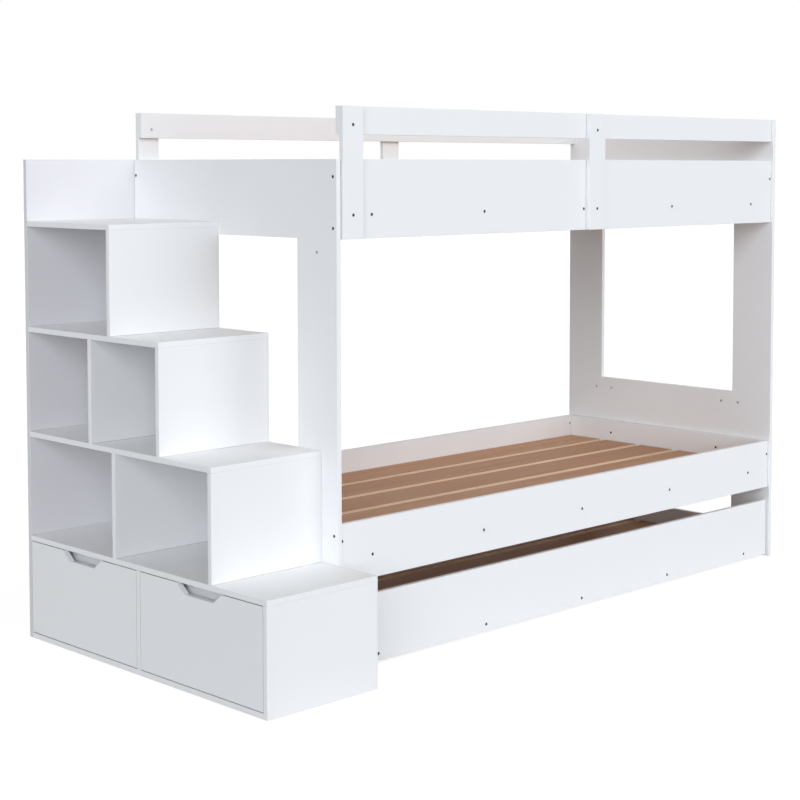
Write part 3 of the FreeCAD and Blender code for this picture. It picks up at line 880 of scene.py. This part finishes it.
def channel(shape, low, high, open_to):
    """Adds a rolled C-shaped channel along X to a bmesh. Its open side faces up or down Y."""
    back, lip = (low.y, high.y) if open_to > 0 else (high.y, low.y)
    web = back + open_to * METAL
    outline = [(back, low.z), (lip, low.z), (lip, low.z + METAL), (web, low.z + METAL),
               (web, high.z - METAL), (lip, high.z - METAL), (lip, high.z), (back, high.z)]
    inside = BEND - METAL
    radii = [BEND, 0, 0, inside, inside, 0, 0, BEND]
    outline = rounded(outline, radii, BEND_STEPS)
    prism(shape, outline, low.x, high.x, lambda y, z, x: (x, y, z))


def channels_for(node, body, opens):
    """Rolled channels and their screws in place of a node's plain ones.

    opens gives the way that a channel between two corners opens, +1 or -1 in Y."""
    shape = bmesh.new()
    frames = []
    for points in solids(node):
        low, high = corners(points)
        way = opens(low, high)
        channel(shape, low, high, way)
        web = (low.y if way > 0 else high.y) + way * (METAL + RUNNER_HEAD)
        for i in range(RUNNER_SCREWS):
            x = low.x + (high.x - low.x) * (i + 0.5) / RUNNER_SCREWS
            head = Vector((x, web, (low.z + high.z) / 2))
            frames.append(outward_frame(head, Vector((0, way, 0))))
    heads = place_copies(head_shape(RUNNER_HEAD), frames)
    for part, name in ((shape, node + "_rolled"), (heads, node + "_heads")):
        piece = as_piece(part, name, zinc, smooth=name.endswith("heads"))
        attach(piece, body)
        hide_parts(node)


def toward_drawer(low, high):
    """The way in Y, +1 or -1, from a channel to the middle of the nearest drawer."""
    middle = (low.y + high.y) / 2
    nearest = min(drawer_middles, key=lambda y: abs(y - middle))
    return 1 if nearest > middle else -1


drawer_middles = []
for name in ("front_drawer", "rear_drawer"):
    low, high = (Vector(corner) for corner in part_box(name + "_face"))
    drawer_middles.append((low.y + high.y) / 2)
    piece = as_piece(face_shape(low, high), name + "_face_routed", melamine_x)
    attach(piece, name)
    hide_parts(name + "_face")
    dress(melamine_y, name + "_sides")
    dress(white_sheet, name + "_bottom")
    dowels_for(name + "_dowels", name + "_beech", name, solids(name + "_dowels"))
    channels_for(name + "_slides", name, lambda low, high: -toward_drawer(low, high))
channels_for("runner_rails", "bed", toward_drawer)

# ---------------------------------------------------------------- glides
# Small plastic glides nailed under the legs and the stairs, so that no board's edge
# stands on the floor.

GLIDE_ROUND = 0.0008
GLIDE_SIDES = 28
GLIDE_PLASTIC = (0.70, 0.70, 0.71)
GLIDE_SCUFFED = (0.55, 0.55, 0.55)

glides = bmesh.new()
for points in solids("floor_glides"):
    low, high = corners(points)
    radius = (high.x - low.x) / 2
    profile = [(radius - GLIDE_ROUND, 0.0), (radius, GLIDE_ROUND), (radius, high.z - low.z)]
    first = len(glides.verts)
    rings = turned(glides, profile, GLIDE_SIDES)
    glides.faces.new(rings[0][::-1])
    glides.faces.new(rings[-1])
    glides.verts.ensure_lookup_table()
    middle = Vector(((low.x + high.x) / 2, (low.y + high.y) / 2, low.z))
    bmesh.ops.translate(glides, vec=middle, verts=glides.verts[first:])
glide_plastic = moulded("glide_plastic", GLIDE_PLASTIC, GLIDE_SCUFFED)
piece = as_piece(glides, "floor_glides_moulded", glide_plastic, smooth=True)
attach(piece, "bed")
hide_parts("floor_glides")

# ---------------------------------------------------------------- stage
# A pale floor that keeps a faint shadow, in a white surround. The camera sees both
# almost white, while the light that they give to the object is weaker.

FLOOR_HALF = 40.0
FLOOR_WHITE = 0.60            # for the light on the object
FLOOR_GLOW = 0.83             # for the camera: a glow, and a shade that shows the shadow
FLOOR_SHADE = 0.40
SURROUND_LIGHT = 0.23
SURROUND_WHITE = 1.0


def seen(tree):
    """1 for what the camera sees, directly, in a gloss or through glass."""
    rays = tree.nodes.new("ShaderNodeLightPath")
    total = rays.outputs["Is Camera Ray"]
    for name in ("Is Glossy Ray", "Is Transmission Ray"):
        either = tree.nodes.new("ShaderNodeMath")
        either.operation = "MAXIMUM"
        tree.links.new(total, either.inputs[0])
        tree.links.new(rays.outputs[name], either.inputs[1])
        total = either.outputs["Value"]
    return total


floor_mesh = bpy.data.meshes.new("floor")
h = FLOOR_HALF
floor_mesh.from_pydata([(-h, -h, 0), (h, -h, 0), (h, h, 0), (-h, h, 0)], [], [(0, 1, 2, 3)])
floor = bpy.data.objects.new("floor", floor_mesh)
bpy.context.scene.collection.objects.link(floor)
floor_paint = bpy.data.materials.new("floor_paint")
floor_paint.use_nodes = True
tree = floor_paint.node_tree
tree.nodes.clear()
plain = tree.nodes.new("ShaderNodeBsdfDiffuse")
plain.inputs["Color"].default_value = (FLOOR_WHITE, FLOOR_WHITE, FLOOR_WHITE, 1)
shaded = tree.nodes.new("ShaderNodeBsdfDiffuse")
shaded.inputs["Color"].default_value = (FLOOR_SHADE, FLOOR_SHADE, FLOOR_SHADE, 1)
glow = tree.nodes.new("ShaderNodeEmission")
glow.inputs["Strength"].default_value = FLOOR_GLOW
lit = tree.nodes.new("ShaderNodeAddShader")
tree.links.new(shaded.outputs[0], lit.inputs[0])
tree.links.new(glow.outputs[0], lit.inputs[1])
choice = tree.nodes.new("ShaderNodeMixShader")
tree.links.new(seen(tree), choice.inputs[0])
tree.links.new(plain.outputs[0], choice.inputs[1])
tree.links.new(lit.outputs[0], choice.inputs[2])
tree.links.new(choice.outputs[0], tree.nodes.new("ShaderNodeOutputMaterial").inputs["Surface"])
floor_mesh.materials.append(floor_paint)

surround = bpy.data.worlds.new("surround")
surround.use_nodes = True
bpy.context.scene.world = surround
tree = surround.node_tree
tree.nodes.clear()
light = tree.nodes.new("ShaderNodeBackground")
light.inputs["Strength"].default_value = SURROUND_LIGHT
white = tree.nodes.new("ShaderNodeBackground")
white.inputs["Strength"].default_value = SURROUND_WHITE
for background in (light, white):
    background.inputs["Color"].default_value = (1, 1, 1, 1)
choice = tree.nodes.new("ShaderNodeMixShader")
tree.links.new(seen(tree), choice.inputs[0])
tree.links.new(light.outputs[0], choice.inputs[1])
tree.links.new(white.outputs[0], choice.inputs[2])
tree.links.new(choice.outputs[0], tree.nodes.new("ShaderNodeOutputWorld").inputs["Surface"])

# ---------------------------------------------------------------- lamps
# Four soft, even lamps far from the object. Each is given by its name, its degrees from
# the front (from -Y towards +X) and up, its strength and its colour.

SOFTBOX_SPREAD = 45.0         # degrees across, seen from the object
LAMP_DISTANCE = 10.0
LAMPS = (
    ("front_left_softbox", -50, 12, 1.86, (0.91, 0.95, 1.00)),
    ("front_right_softbox", 20, 12, 0.46, (0.90, 0.95, 1.00)),
    ("high_right_softbox", 20, 32, 0.83, (0.96, 0.98, 1.00)),
    ("high_left_softbox", -90, 58, 0.20, (1.00, 1.00, 1.00)),
)

for name, azimuth, elevation, strength, colour in LAMPS:
    lamp = bpy.data.lights.new(name, "SUN")
    lamp.angle = math.radians(SOFTBOX_SPREAD)
    lamp.energy = strength
    lamp.color = colour
    stand = bpy.data.objects.new(name, lamp)
    across, up = math.radians(azimuth), math.radians(elevation)
    toward = Vector((math.sin(across) * math.cos(up), -math.cos(across) * math.cos(up),
                     math.sin(up)))
    stand.location = toward * LAMP_DISTANCE
    stand.rotation_mode = "QUATERNION"
    stand.rotation_quaternion = toward.to_track_quat("Z", "Y")
    bpy.context.scene.collection.objects.link(stand)

# ---------------------------------------------------------------- camera
# The photo's view, solved on the corners of the boards, with a little tilt in place of
# most of the photo's lens shift.

CAMERA_PLACE = (-3.8806, -3.8192, 1.3804)
CAMERA_HEADING = 45.03        # degrees from +Y towards +X
CAMERA_TILT = 3.516           # degrees below level
CAMERA_SENSOR = 36.0          # mm
CAMERA_LENS = 77.37           # mm
CAMERA_SHIFT = (-0.05, -0.16)
CAMERA_REACH = 200.0

heading, tilt = math.radians(CAMERA_HEADING), math.radians(CAMERA_TILT)
looking = Vector((math.sin(heading) * math.cos(tilt), math.cos(heading) * math.cos(tilt),
                  -math.sin(tilt)))
camera = bpy.data.objects.new("camera", bpy.data.cameras.new("camera"))
camera.data.sensor_width = CAMERA_SENSOR
camera.data.lens = CAMERA_LENS
camera.data.shift_x, camera.data.shift_y = CAMERA_SHIFT
camera.data.clip_end = CAMERA_REACH
camera.location = CAMERA_PLACE
camera.rotation_mode = "QUATERNION"
camera.rotation_quaternion = looking.to_track_quat("-Z", "Y")
bpy.context.scene.collection.objects.link(camera)
bpy.context.scene.camera = camera
bpy.context.scene.view_settings.view_transform = "Standard"
